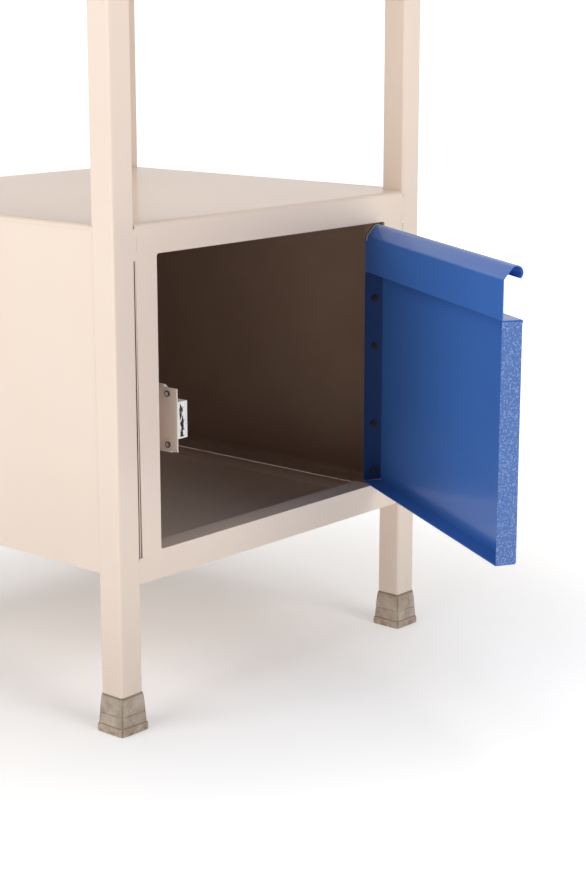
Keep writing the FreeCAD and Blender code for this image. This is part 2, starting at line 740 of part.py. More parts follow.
def catch():
    """A magnetic catch on a bent bracket that grips the left jamb from behind."""
    thick = S["bracket"]
    tab_x = OPEN_LEFT - S["sheet"]
    body = new_body("catch_bracket")
    sketch = sketch_on(body, "XY_Plane")
    outline(sketch, [(tab_x - thick, FRONT + S["catch_hole_in"]), (tab_x, FRONT + S["catch_hole_in"]),
                     (tab_x, CROSS_Y), (PLATE_X, CROSS_Y), (PLATE_X, CATCH_Y), (CATCH_X, CATCH_Y),
                     (CATCH_X, CROSS_Y + thick), (tab_x - thick, CROSS_Y + thick)])
    pad(body, sketch, S["bracket_tall"])
    round_edges(body, S["bend"], lambda m, d: abs(d.z) > 0.99 and near(m.y, CROSS_Y + thick))
    holes = sketch_on(body, "YZ_Plane", PLATE_X - thick)
    for way in (-1, 1):
        circle(holes, CATCH_Y + S["catch_hole_in"], S["bracket_tall"] / 2 + way * S["catch_hole"] / 2,
               S["screw"] + S["screw_play"])
    pocket(body, holes, thick * 3, backwards=True)
    keep(body, (ZERO, ZERO, S["bracket_low"]))

    body = new_body("catch_body")
    nose, ear = S["catch_nose"] / 2, S["catch_ear"] / 2
    wide, deep, slim = S["catch_wide"], S["catch_deep"], S["catch_ear_thick"]
    block = sketch_on(body, "XY_Plane", -nose)
    box_outline(block, ZERO, wide, ZERO, deep)
    pad(body, block, 2 * nose)
    base = sketch_on(body, "YZ_Plane")
    cut = deep / 3
    outline(base, [(cut / 2, -ear + cut), (cut, -ear), (deep, -ear), (deep, ear), (2 * cut, ear),
                   (cut / 2, ear - cut)])
    pad(body, base, slim)
    wall = S["catch_wall"]
    seat = sketch_on(body, "XZ_Plane", S["catch_wall"])
    box_outline(seat, wall, wide - wall, wall - nose, nose - wall)
    pocket(body, seat, S["magnet_deep"] + 2 * wall)
    holes = sketch_on(body, "YZ_Plane", -slim)
    for way in (-1, 1):
        circle(holes, S["catch_hole_in"], way * S["catch_hole"] / 2, S["screw"] + S["screw_play"])
    pocket(body, holes, slim * 3, backwards=True)
    keep(body, (CATCH_X, CATCH_Y, CATCH_Z))

    inner = S["catch_nose"] - 2 * wall
    core = wide - 2 * wall - 2 * S["pole"]
    magnet = part_object("Part::Box", "catch_magnet", Length=core, Height=inner,
                         Width=S["magnet_deep"] + wall - S["pole_proud"])
    magnet.Label = "catch_magnet"
    keep(magnet, (CATCH_X + wall + S["pole"], CATCH_Y + S["pole_proud"], CATCH_Z - inner / 2))
    plates = []
    for number, start in enumerate((wall, wide - wall - S["pole"])):
        plate = part_object("Part::Box", f"pole_{number}", Length=S["pole"], Height=inner,
                            Width=S["magnet_deep"] + wall)
        bind(plate, "Placement.Base.x", start)
        plates.append(plate)
    group("catch_pole_plates", plates, (CATCH_X, CATCH_Y, CATCH_Z - inner / 2))

    screws, nuts = [], []
    for way in (-1, 1):
        level = CATCH_Z + way * S["catch_hole"] / 2
        screw = dome_screw(f"catch_screw_{way + 1}", thick + slim + S["nut_tall"] + S["thread_out"])
        lie_along_x(screw, PLATE_X, CATCH_Y + S["catch_hole_in"], level, 1)
        seat = nut(f"catch_nut_{way + 1}")
        lie_along_x(seat, CATCH_X + slim, CATCH_Y + S["catch_hole_in"], level, 1)
        screws.append(screw)
        nuts.append(seat)
    group("catch_screws", screws)
    group("catch_nuts", nuts)


def top_rails():
    """Four tubes between the tops of the legs, each drilled through its middle for a fixing."""
    runs = {"front": ("YZ_Plane", (-BAY_W, -HALF_D + S["tube"] / 2), (BAY_W, ZERO)),
            "rear": ("YZ_Plane", (-BAY_W, HALF_D - S["tube"] / 2), (BAY_W, ZERO)),
            "left": ("XZ_Plane", (-HALF_W + S["tube"] / 2, BAY_D), (ZERO, -BAY_D)),
            "right": ("XZ_Plane", (HALF_W - S["tube"] / 2, BAY_D), (ZERO, -BAY_D))}
    for name, (role, place, middle) in runs.items():
        rail = square_tube(f"top_rail_{name}", 2 * (BAY_W if role == "YZ_Plane" else BAY_D), role)
        hole = sketch_on(rail, "XY_Plane", -S["tube"])
        circle(hole, middle[0], middle[1], S["screw"] + S["screw_play"])
        pocket(rail, hole, 2 * S["tube"], backwards=True)
        keep(rail, (place[0], place[1], RAIL_LOW + S["tube"] / 2))


def worktop():
    """A folded stainless sheet over the legs, with a skirt all round."""
    body = new_body("worktop")
    reach = S["top_gap"] + S["top_thick"]
    sketch = sketch_on(body, "XY_Plane")
    box_outline(sketch, -HALF_W - reach, HALF_W + reach, -HALF_D - reach, HALF_D + reach)
    pad(body, sketch, S["top_skirt"])
    round_edges(body, S["top_corner"], lambda m, d: abs(d.z) > 0.99)
    base = body.Tip
    skirt = S["top_skirt"].value
    names = [f"Edge{i}" for i, e in enumerate(base.Shape.Edges, start=1)
             if abs(e.BoundBox.ZMin - skirt) < 1e-4]
    rolled = body.newObject("PartDesign::Fillet", "worktop_edge")
    rolled.Base = (base, names)
    bind(rolled, "Radius", S["top_edge"])
    body.Tip = rolled
    DOC.recompute()
    hollow(body, S["top_thick"], open_up=False)
    keep(body, (ZERO, ZERO, S["height"] - S["top_skirt"]))
    screws = []
    for number, (x, y) in enumerate(((0, -1), (0, 1), (-1, 0), (1, 0))):
        screw = dome_screw(f"top_screw_{number}", S["tube"])
        bind(screw, "Placement.Base.x", x * (HALF_W - S["tube"] / 2))
        bind(screw, "Placement.Base.y", y * (HALF_D - S["tube"] / 2))
        bind(screw, "Placement.Base.z", RAIL_LOW)
        screws.append(screw)
    group("worktop_screws", screws)


# the drawer and its case
CASE_LOW = S["drawer_low"]
RUNNER_Z = CASE_LOW + S["runner_height"]
FRONT_LOW = CASE_LOW + S["front_rail"] + S["drawer_gap"]
FRONT_TALL = RAIL_LOW - S["drawer_gap"] - FRONT_LOW
FRONT_WIDE = 2 * BAY_W - 2 * S["drawer_gap"]
BOX_HALF = BAY_W - S["box_side_gap"]
BOX_FRONT = FRONT + S["door_deep"]
BOX_LONG = BAY_D - S["box_rear_gap"] - BOX_FRONT
SLIDE_HIGH = RUNNER_Z + S["sheet"] + S["slide_play"] + S["slide_thick"]


def drawer_case():
    case_panels("drawer_case", CASE_LOW, RAIL_LOW - S["seam"], S["side_top_flange"])
    floor_tray("drawer_case_floor", CASE_LOW + S["sheet"] + S["seam"], S["side_top_flange"], -BAY_D)
    thin = S["sheet"]
    body = new_body("drawer_front_rail")
    sketch = sketch_on(body, "YZ_Plane", -BAY_W)
    rail_deep = S["tube"]
    outline(sketch, [(ZERO, ZERO), (rail_deep - S["seam"], ZERO), (rail_deep - S["seam"], thin), (thin, thin),
                     (thin, S["front_rail"] - thin), (rail_deep / 2, S["front_rail"] - thin),
                     (rail_deep / 2, S["front_rail"]), (ZERO, S["front_rail"])])
    pad(body, sketch, 2 * BAY_W)
    round_edges(body, S["bend"], lambda m, d: abs(d.x) > 0.99 and near(m.y, 0))
    keep(body, (ZERO, FRONT, CASE_LOW))
    for side, right in SIDES.items():
        body = new_body(f"drawer_runner_{side}")
        wide, tall = S["runner_wide"], S["runner_tall"]
        sketch = sketch_on(body, "XZ_Plane", -BAY_D)
        outline(sketch, [(ZERO, ZERO), (-right * wide, ZERO), (-right * wide, thin), (-right * thin, thin),
                         (-right * thin, tall - thin), (-right * wide, tall - thin),
                         (-right * wide, tall), (ZERO, tall)])
        pad(body, sketch, BAY_D - BOX_FRONT - S["seam"])
        keep(body, (right * BAY_W, ZERO, RUNNER_Z))


def drawer():
    body = new_body("drawer_front")
    pull_front(body, FRONT_WIDE, FRONT_TALL)
    ledge, web = pull_heights(FRONT_TALL)
    level = (ledge + web) / 2
    holes = sketch_on(body, "XZ_Plane", -S["door_deep"] * 2)
    for way in (-1, 1):
        circle(holes, -FRONT_WIDE / 2 + way * BOX_HALF / 2, level, S["screw"] + S["screw_play"])
    pocket(body, holes, S["door_deep"] * 2, backwards=True)
    keep(body, (FRONT_WIDE / 2, FRONT, FRONT_LOW))

    box = new_body("drawer_box")
    sketch = sketch_on(box, "XY_Plane")
    box_outline(sketch, -BOX_HALF, BOX_HALF, ZERO, BOX_LONG)
    pad(box, sketch, S["box_tall"])
    round_edges(box, S["bend"] + S["sheet"], lambda m, d: near(m.z, 0) and abs(d.z) < 0.01)
    hollow(box, S["sheet"], open_up=True)
    box_low = CASE_LOW + S["box_low"]
    screw_level = FRONT_LOW + level
    drills = sketch_on(box, "XZ_Plane", S["sheet"])
    for way in (-1, 1):
        circle(drills, way * BOX_HALF / 2, screw_level - box_low, S["screw"] + S["screw_play"])
    pocket(box, drills, S["sheet"] * 3)
    keep(box, (ZERO, BOX_FRONT, box_low))

    for side, right in SIDES.items():
        slide = part_object("Part::Box", f"drawer_slide_{side}", Height=S["slide_thick"],
                            Length=S["box_side_gap"] - S["sheet"] - 2 * S["slide_play"],
                            Width=BOX_LONG - S["tube"])
        slide.Label = f"drawer_slide_{side}"
        start = BOX_HALF if right > 0 else -BAY_W + S["sheet"] + 2 * S["slide_play"]
        keep(slide, (start, BOX_FRONT + S["tube"] / 2, RUNNER_Z + S["sheet"] + S["slide_play"]))

    screws, nuts, lugs = [], [], []
    for way in (-1, 1):
        screw = dome_screw(f"drawer_screw_{way + 1}", 2 * S["sheet"] + S["nut_tall"] + S["thread_out"])
        seat = nut(f"drawer_nut_{way + 1}")
        for item, y in ((screw, BOX_FRONT - S["sheet"]), (seat, BOX_FRONT + S["sheet"])):
            item.Placement.Rotation = FreeCAD.Rotation(Vector(1, 0, 0), -90.0)
            bind(item, "Placement.Base.x", way * BOX_HALF / 2)
            bind(item, "Placement.Base.y", y)
            bind(item, "Placement.Base.z", screw_level)
        screws.append(screw)
        nuts.append(seat)
        lug = part_object("Part::Box", f"lug_{way + 1}", Length=S["sheet"] * 2, Width=S["lug_wide"],
                          Height=RAIL_LOW + S["lug_up"] - box_low - S["box_tall"] / 2)
        bind(lug, "Placement.Base.x", way * (BOX_HALF - S["sheet"] * 2) - S["sheet"])
        bind(lug, "Placement.Base.y", BAY_D - S["box_rear_gap"] - S["lug_set"])
        bind(lug, "Placement.Base.z", box_low + S["box_tall"] / 2)
        lugs.append(lug)
    group("drawer_front_screws", screws)
    group("drawer_front_nuts", nuts)
    group("drawer_stop_lugs", lugs)


def check_and_export():
    """Stop on any failed object, then write one STEP file for each sub-part."""
    DOC.recompute()
    for item in DOC.Objects:
        if "Invalid" in item.State or "Error" in item.State:
            raise RuntimeError(f"{item.Name} failed: {item.State}")
    for item in SUBPARTS:
        if item.Shape.isNull() or not item.Shape.isValid():
            raise RuntimeError(f"{item.Label} has no valid shape")
        if not item.Shape.Solids:
            raise RuntimeError(f"{item.Label} has no solid")
    os.makedirs("parts", exist_ok=True)
    for item in SUBPARTS:
        item.Shape.exportStep(f"parts/{item.Label}.step")
    print(len(SUBPARTS), "sub-parts written")


legs()
shoes()
cabinet_top()
case_panels("cabinet", PANEL_LOW, PANEL_TOP, S["tube"])
floor_tray("cabinet_floor", S["cabinet_low"], S["tray_tall"], FRONT + S["sheet"] + S["seam"])
front_frame()
drill_frame(SUBPARTS[-1])
hang(door_panel(), -S["hinge_gap"] / 2, S["pin_out"], OPEN_LOW + S["door_gap_foot"])
hinges()
catch()
top_rails()
worktop()
drawer_case()
drawer()
check_and_export()
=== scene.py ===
# %% [markdown]
# # A hospital bedside cabinet
# The real thing is a welded steel stand: four square tubes on rubber shoes, a folded sheet cabinet
# with a blue pressed door, an open bay and a drawer under a stainless worktop. The CAD model gives
# every part its true size. This lesson lights it, gives each part its finish, and replaces the parts
# whose look depends on soft bends and mouldings with surfaces worked out with numpy.

# %% Load the frame
import json
import math

import bpy
import numpy as np
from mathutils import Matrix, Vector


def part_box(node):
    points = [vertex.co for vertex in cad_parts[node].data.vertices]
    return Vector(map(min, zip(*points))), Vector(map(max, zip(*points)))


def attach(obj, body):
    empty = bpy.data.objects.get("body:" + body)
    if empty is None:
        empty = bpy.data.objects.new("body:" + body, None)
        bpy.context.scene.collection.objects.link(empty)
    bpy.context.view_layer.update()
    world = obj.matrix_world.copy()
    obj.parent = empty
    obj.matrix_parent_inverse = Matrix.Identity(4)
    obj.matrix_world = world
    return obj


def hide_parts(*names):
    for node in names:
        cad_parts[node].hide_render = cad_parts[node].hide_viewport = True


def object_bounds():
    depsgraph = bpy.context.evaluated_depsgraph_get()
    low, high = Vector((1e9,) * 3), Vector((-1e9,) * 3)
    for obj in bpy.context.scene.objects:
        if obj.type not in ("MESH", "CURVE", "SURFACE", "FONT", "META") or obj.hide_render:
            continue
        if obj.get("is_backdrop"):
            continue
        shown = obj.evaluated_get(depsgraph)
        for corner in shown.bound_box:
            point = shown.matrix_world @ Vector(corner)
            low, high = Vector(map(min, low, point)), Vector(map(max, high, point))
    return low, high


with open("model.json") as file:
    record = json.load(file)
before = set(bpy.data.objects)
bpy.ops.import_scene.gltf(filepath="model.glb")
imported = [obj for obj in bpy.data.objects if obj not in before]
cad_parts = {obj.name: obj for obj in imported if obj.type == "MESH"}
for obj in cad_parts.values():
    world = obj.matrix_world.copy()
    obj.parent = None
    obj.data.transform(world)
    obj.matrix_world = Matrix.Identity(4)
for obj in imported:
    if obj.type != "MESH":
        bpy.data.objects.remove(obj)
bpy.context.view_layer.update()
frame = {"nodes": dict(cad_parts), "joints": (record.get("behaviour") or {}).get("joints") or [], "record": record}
nodes = frame["nodes"]

# %% [markdown]
# ## The sizes that the looks need
# Positions come from the CAD nodes' own boxes, so nothing has to be fitted by eye. The door's hinge
# line comes from its joint. Lengths are metres, and MM turns millimetres into metres. JAMB is how deep
# the front frame's returns are, and DOOR_ANGLE is how far the door stands open at rest.

# %% Sizes
MM = 0.001
leg_low, leg_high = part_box("leg_front_left")
top_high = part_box("cabinet_top")[1]
frame_low, frame_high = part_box("front_frame")
side_low, side_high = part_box("cabinet_side_left")
tray_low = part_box("cabinet_floor")[0]
WIDE = top_high.x
BAY = frame_high.x
TUBE = leg_high.x - leg_low.x
SHEET = 0.9 * MM
JAMB = 22.8 * MM
DOOR_ANGLE = math.radians(60.0)
hinge = [joint for joint in frame["joints"] if joint["type"] == "hinge"][0]
PIN = np.array(hinge["pos_m"])
print("half width", round(WIDE, 4), "between legs", round(2 * BAY, 4), "pin", PIN)

# %% [markdown]
# ## Camera
# The camera looks down at the front left corner from a little above the shelf, with a lens about
# twice as long as the picture is tall, so upright edges stay nearly parallel.

# %% Camera
CAMERA_PLACE = (-1.2588, -1.3064, 0.6126)
CAMERA_YAW = math.radians(49.17)
CAMERA_PITCH = math.radians(13.07)
lens = bpy.data.cameras.new("camera")
lens.sensor_width = 36.0
lens.lens = 78.07
lens.clip_start = 0.05
lens.clip_end = 3000.0
camera = bpy.data.objects.new("camera", lens)
camera.location = CAMERA_PLACE
camera.rotation_euler = (math.pi / 2 - CAMERA_PITCH, 0.0, -CAMERA_YAW)
bpy.context.scene.collection.objects.link(camera)
bpy.context.scene.camera = camera
print("camera at", CAMERA_PLACE)

# %% [markdown]
# ## Floor
# One pale floor reaches far past what the camera takes in, so it looks like a studio sweep
# with no horizon.

# %% Stage pieces
def stage_surface(name, points):
    """A flat four-sided surface through four points."""
    mesh = bpy.data.meshes.new(name)
    mesh.from_pydata(points, [], [(0, 1, 2, 3)])
    item = bpy.data.objects.new(name, mesh)
    bpy.context.scene.collection.objects.link(item)
    item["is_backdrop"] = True
    return item


REACH = 900.0
floor = stage_surface("floor", [(x * REACH, y * REACH, 0) for x, y in ((-1, -1), (1, -1), (1, 1), (-1, 1))])
print("floor", 2 * REACH, "m across")

# %% [markdown]
# ## Lamps and sky
# The main light is a large soft panel high on the left, because the left faces of the cabinet are its
# brightest. A panel high in front reaches the cabinet's floor through the door opening, and a weak one
# overhead lights the shelf. The sky is white to the camera and in reflections. It gives diffuse
# surfaces only a quarter of that light, or it would wash out the shadows that the panels make.

# %% Lamps
def panel_lamp(name, place, target, size, watts):
    """A soft white panel that faces a point."""
    data = bpy.data.lights.new(name, "AREA")
    data.shape = "RECTANGLE"
    data.size, data.size_y = size
    data.energy = watts
    lamp = bpy.data.objects.new(name, data)
    place = np.array(place, float)
    away = place - np.array(target, float)
    flat = math.hypot(away[0], away[1])
    lamp.location = place
    lamp.rotation_euler = (math.atan2(flat, away[2]), 0.0, math.atan2(away[0], -away[1]))
    bpy.context.scene.collection.objects.link(lamp)
    return lamp


panel_lamp("key", (-2.6, 0.3, 1.7), (0, 0, 0.3), (2.0, 2.0), 32.0)
panel_lamp("fill", (-0.2, -3.3, 2.3), (0, 0, 0.3), (1.5, 1.4), 38.0)
panel_lamp("overhead", (0.3, 0.4, 2.9), (0, 0, 0.4), (2.0, 2.0), 20.0)
sky = bpy.data.worlds.new("sky")
bpy.context.scene.world = sky
sky.use_nodes = True
FULL_SKY, DIFFUSE_SKY = 1.0, 0.24
glow = sky.node_tree.nodes["Background"]
glow.inputs["Color"].default_value = (1.0, 0.99, 0.98, 1.0)
ray = sky.node_tree.nodes.new("ShaderNodeLightPath")
dim = sky.node_tree.nodes.new("ShaderNodeMapRange")
dim.inputs["To Min"].default_value = FULL_SKY
dim.inputs["To Max"].default_value = DIFFUSE_SKY
sky.node_tree.links.new(ray.outputs["Is Diffuse Ray"], dim.inputs["Value"])
sky.node_tree.links.new(dim.outputs[0], glow.inputs["Strength"])
bpy.context.scene.view_settings.view_transform = "Standard"
bpy.context.scene.view_settings.look = "None"


# %% [markdown]
# ## Writing materials as sums
# A node tree is easier to read as arithmetic. `Wire` wraps one output socket and overloads the
# operators, so `0.3 + 0.1 * grain` makes the two Math nodes that compute it. `Finish` holds one
# material and makes every other kind of node with a single method.

# %% Wire and Finish
class Wire:
    """One output socket in a material, with arithmetic."""

    def __init__(self, finish, socket):
        self.finish = finish
        self.socket = socket

    def math(self, operation, first, second=0.5):
        return self.finish.node("Math", {0: first, 1: second}, operation=operation)

    def __add__(self, other):
        return self.math("ADD", self, other)

    def __sub__(self, other):
        return self.math("SUBTRACT", self, other)

    def __rsub__(self, other):
        return self.math("SUBTRACT", other, self)

    def __mul__(self, other):
        return self.math("MULTIPLY", self, other)

    def __truediv__(self, other):
        return self.math("DIVIDE", self, other)

    def __pow__(self, other):
        return self.math("POWER", self, other)

    def __abs__(self):
        return self.math("ABSOLUTE", self)

    __radd__ = __add__
    __rmul__ = __mul__

    def step(self, low, high, at_low=0.0, at_high=1.0):
        """Smoothly from at_low below low to at_high above high."""
        given = {"Value": self, "From Min": low, "From Max": high, "To Min": at_low, "To Max": at_high}
        return self.finish.node("MapRange", given, interpolation_type="SMOOTHSTEP")

    def at_most(self, other):
        return self.math("MINIMUM", self, other)

    def at_least(self, other):
        return self.math("MAXIMUM", self, other)


class Finish:
    """A material that is being written."""

    def __init__(self, name, **plain):
        self.material = bpy.data.materials.new(name)
        self.material.use_nodes = True
        self.tree = self.material.node_tree
        self.shader = self.tree.nodes["Principled BSDF"]
        for socket, value in plain.items():
            self.shader.inputs[socket.replace("_", " ")].default_value = value

    def node(self, kind, given=None, out=0, **settings):
        """Make one node: given maps its inputs to numbers, tuples or Wires; settings are its options."""
        item = self.tree.nodes.new("ShaderNode" + kind)
        for option, value in settings.items():
            setattr(item, option, value)
        for key, value in (given or {}).items():
            if isinstance(value, Wire):
                self.tree.links.new(value.socket, item.inputs[key])
            else:
                item.inputs[key].default_value = value
        return Wire(self, item.outputs[out])

    def feed(self, name, wire):
        """Send a Wire to one of the shader's own sockets."""
        self.tree.links.new(wire.socket, self.shader.inputs[name])

    def place(self):
        """Object coordinates, which are the row's own metres on every piece of this model."""
        return self.node("TexCoord", out="Object")

    def noise(self, size, detail=3.0, rough=0.5, where=None):
        """Cloudy noise, 0 to 1, with patches about size metres across."""
        given = {"Vector": where or self.place(), "Scale": 1.0 / size, "Detail": detail, "Roughness": rough}
        return self.node("TexNoise", given)

    def cells(self, size):
        """Distance to the nearest of scattered points about size metres apart, in cells."""
        return self.node("TexVoronoi", {"Vector": self.place(), "Scale": 1.0 / size})

    def blend(self, factor, first, second):
        """The first colour where factor is 0, the second where it is 1."""
        given = {0: factor, 6: first, 7: second}
        return self.node("Mix", given, out=2, data_type="RGBA", clamp_factor=True)

    def relief(self, height, depth, strength=1.0, under=None):
        """Bump of depth metres for a height of 1."""
        given = {"Height": height, "Distance": depth, "Strength": strength}
        if under:
            given["Normal"] = under
        return self.node("Bump", given)

    def axes(self):
        """The x, y and z of Object coordinates as three Wires."""
        where = self.place()
        return [self.node("SeparateXYZ", {0: where}, out=i) for i in range(3)]


print("Wire and Finish are ready")


# %% [markdown]
# ## The floor's own glow
# A studio sweep is lit so strongly that it burns out to white. Here the floor is plain pale
# paper that glows: faintly under the cabinet, where the weak glow paints its shade, and more and more
# up to about a metre away, where it paints the floor out to white.

# %% Floor paper
def floor_paper():
    finish = Finish("floor_paper", Base_Color=(0.86, 0.86, 0.86, 1.0), Roughness=0.9, Specular_IOR_Level=0.1)
    x, y = finish.axes()[:2]
    away = (x * x + y * y) ** 0.5
    # Painted light: the floor glows weakly under the cabinet as painted shade, and strongly further out.
    glow = away.step(0.1, 1.1, 0.20, 0.95)
    tint = finish.blend(glow, (0.0, 0.0, 0.0, 1), (1.0, 1.0, 1.0, 1))
    finish.shader.inputs["Emission Strength"].default_value = 1.0
    finish.feed("Emission Color", tint)
    print("floor paper:", len(finish.tree.nodes), "nodes")
    return finish.material


floor.data.materials.append(floor_paper())


# %% [markdown]
# ## Ivory enamel
# The stand is powder coated: a pigmented plastic skin that flows just enough to leave a fine
# orange-peel, and gloss enough to reflect a leg softly in the shelf. Hands and mops leave it slightly
# uneven in colour. Inside the cabinet the enamel is painted darker and browner, which is painted shade.
# The inside is found from Object coordinates: it is the space within the panels and behind the front
# frame's jambs, reaching forward over the right jamb's return near the hinge, and it leaves out the
# bend along the cabinet's top. The cabinet's floor is left out of the painted shade, which fades in
# over the lowest 2 cm of the walls.

# %% Ivory enamel
def ivory_enamel():
    finish = Finish("ivory_enamel", Coat_Weight=0.25, Coat_Roughness=0.12)
    cloud = finish.noise(0.16, 4.0)
    speck = finish.noise(0.012, 2.0)
    colour = finish.blend(cloud, (0.76, 0.615, 0.51, 1), (0.81, 0.685, 0.585, 1))
    x, y, z = finish.axes()
    foot = (0.13 - z).step(-0.02, 0.13)
    stain = (finish.noise(0.045, 6.0, 0.65) * (0.35 + 0.65 * foot)).step(0.50, 0.72)
    colour = finish.blend(stain * 0.16, colour, (0.42, 0.31, 0.22, 1))
    wall, soft = 0.6 * MM, 0.2 * MM
    within_x = (float(WIDE) - wall - abs(x)).step(0.0, soft)
    within_y = (float(WIDE) - wall - abs(y)).step(0.0, soft)
    over = (z - float(tray_low.z) - wall).step(0.0, soft)
    under = (float(top_high.z) - wall - z).step(0.0, soft)
    bend = (float(WIDE + top_high.z) - 4 * wall - abs(x) - z).step(0.0, 2 * soft)
    # Near the hinge the inside reaches forward over the right jamb's return, which gets the painted shade too.
    jamb = (x - float(PIN[0]) + 12 * MM).step(0.0, 2 * MM, JAMB, 2 * MM)
    behind = (y + float(WIDE) - jamb).step(0.0, 2 * soft)
    shaded_inside = within_x * within_y * over * under * behind * bend
    # The cabinet's floor is left out, and the painted shade fades in over the lowest 2 cm of the walls.
    shaded_inside = shaded_inside * (z - float(tray_low.z)).step(1.2 * MM, 20 * MM, 0.0, 1.0)
    # Painted shade: inside the cabinet the enamel is darkened towards brown, a little mottled.
    shade_mottle = 0.86 + 0.14 * finish.noise(0.05, 4.0)
    colour = finish.blend(shaded_inside * shade_mottle, colour, (0.36, 0.235, 0.165, 1))
    finish.feed("Base Color", colour)
    finish.feed("Roughness", 0.30 + 0.10 * cloud + 0.05 * speck)
    peel = finish.noise(0.0024, 2.0) * 0.7 + finish.noise(0.03, 2.0) * 0.5
    finish.feed("Normal", finish.relief(peel, 0.05 * MM, 0.55))
    print("ivory enamel:", len(finish.tree.nodes), "nodes")
    return finish.material


IVORY = ivory_enamel()


# %% [markdown]
# ## Blue enamel
# The door and the drawer front carry a glossier coat, and the sheet under it is not quite flat. One
# function makes three of it. The plain coat is smooth. The flange at the free edge has a coarse
# orange-peel, and pale grains in its colour are painted highlights for its sparkle. At the hinge the
# flange and the hinge leaves get a nearly navy copy of the coat, which is painted shade. Where the door's
# sloping top ends at the hinge, a black line at the cut is painted shadow of the gap, and a pale line
# just inside it is the bare steel edge with a painted glint.

# %% Blue enamel
DOOR_TOP = float(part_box("door_panel")[1].z)
DOOR_SIDE = 0.8


def blue_enamel(name, dark, light, size, depth, sparkle_share, coat):
    """A blue coat: size and depth are its orange-peel's, and the sixth argument is its share of pale grains
    painted as highlights.
    """
    finish = Finish(name, Coat_Weight=coat, Coat_Roughness=0.12, Specular_IOR_Level=0.4)
    colour = finish.blend(finish.noise(0.11, 3.0), (*dark, 1), (*light, 1))
    # Painted highlights: pale grains in the colour stand for the coat's sparkle.
    painted_sparkle = finish.noise(0.0016, 3.0, 0.6).step(0.48, 0.66) * sparkle_share
    colour = finish.blend(painted_sparkle, colour, (0.42, 0.55, 0.78, 1))
    x, y, z = finish.axes()
    along = (float(PIN[0]) - x) * math.cos(DOOR_ANGLE) + (float(PIN[1]) - y) * math.sin(DOOR_ANGLE)
    along = along - DOOR_SIDE * MM
    slope = along.step(-3 * MM, -2 * MM) * (z - DOOR_TOP + 15 * MM).step(0.0, 0.4 * MM)
    slope = slope * (z - DOOR_TOP).step(1 * MM, 2 * MM, 1.0, 0.0)
    # At the hinge end of the slope a black line at the cut is painted shadow of the gap, and a pale line just
    # inside it is the bare steel edge with a painted glint.
    bare_edge_glint = along.step(4.5 * MM, 5.5 * MM, 1.0, 0.0) * slope
    gap_shadow = along.step(1.8 * MM, 2.4 * MM, 1.0, 0.0) * slope
    colour = finish.blend(bare_edge_glint, colour, (0.90, 0.89, 0.87, 1))
    finish.feed("Base Color", finish.blend(gap_shadow, colour, (0.004, 0.004, 0.005, 1)))
    finish.feed("Metallic", bare_edge_glint * 0.4)
    finish.feed("Roughness", 0.30 + 0.10 * finish.noise(0.02, 3.0))
    sag = finish.relief(finish.noise(0.09, 1.0), 0.6 * MM, 0.3)
    peel = finish.cells(size) * 0.9 + finish.noise(size / 3, 2.0) * 0.15
    finish.feed("Normal", finish.relief(peel, depth, 0.8, sag))
    print(name, len(finish.tree.nodes), "nodes")
    return finish.material


PEEL_DEPTH, DRY_DEPTH = 0.09 * MM, 0.55 * MM
BLUE = blue_enamel("blue_enamel", (0.032, 0.135, 0.46), (0.048, 0.165, 0.53), 3.0 * MM, PEEL_DEPTH, 0.0, 0.35)
# The free flange's blue, with pale grains of painted highlight.
BLUE_SPARKLE = blue_enamel("blue_dry", (0.020, 0.100, 0.36), (0.030, 0.125, 0.42), 2.2 * MM, DRY_DEPTH, 0.38, 0.5)
# A nearly navy copy of the blue for the hinge corner and the hinge leaves: painted shade.
BLUE_SHADED = blue_enamel("blue_thin", (0.001, 0.020, 0.10), (0.002, 0.028, 0.125), 3.0 * MM, PEEL_DEPTH, 0.0,
                        0.0)


# %% [markdown]
# ## Rubber
# The shoes are a hard grey-brown rubber, stained pink and brown where the mop reaches. Every small step
# is darkened as painted shade: above the band, at the mould's parting line, down the corners and at the
# rim. Each of these is a line at a known height or corner, so plain arithmetic on the position finds it.

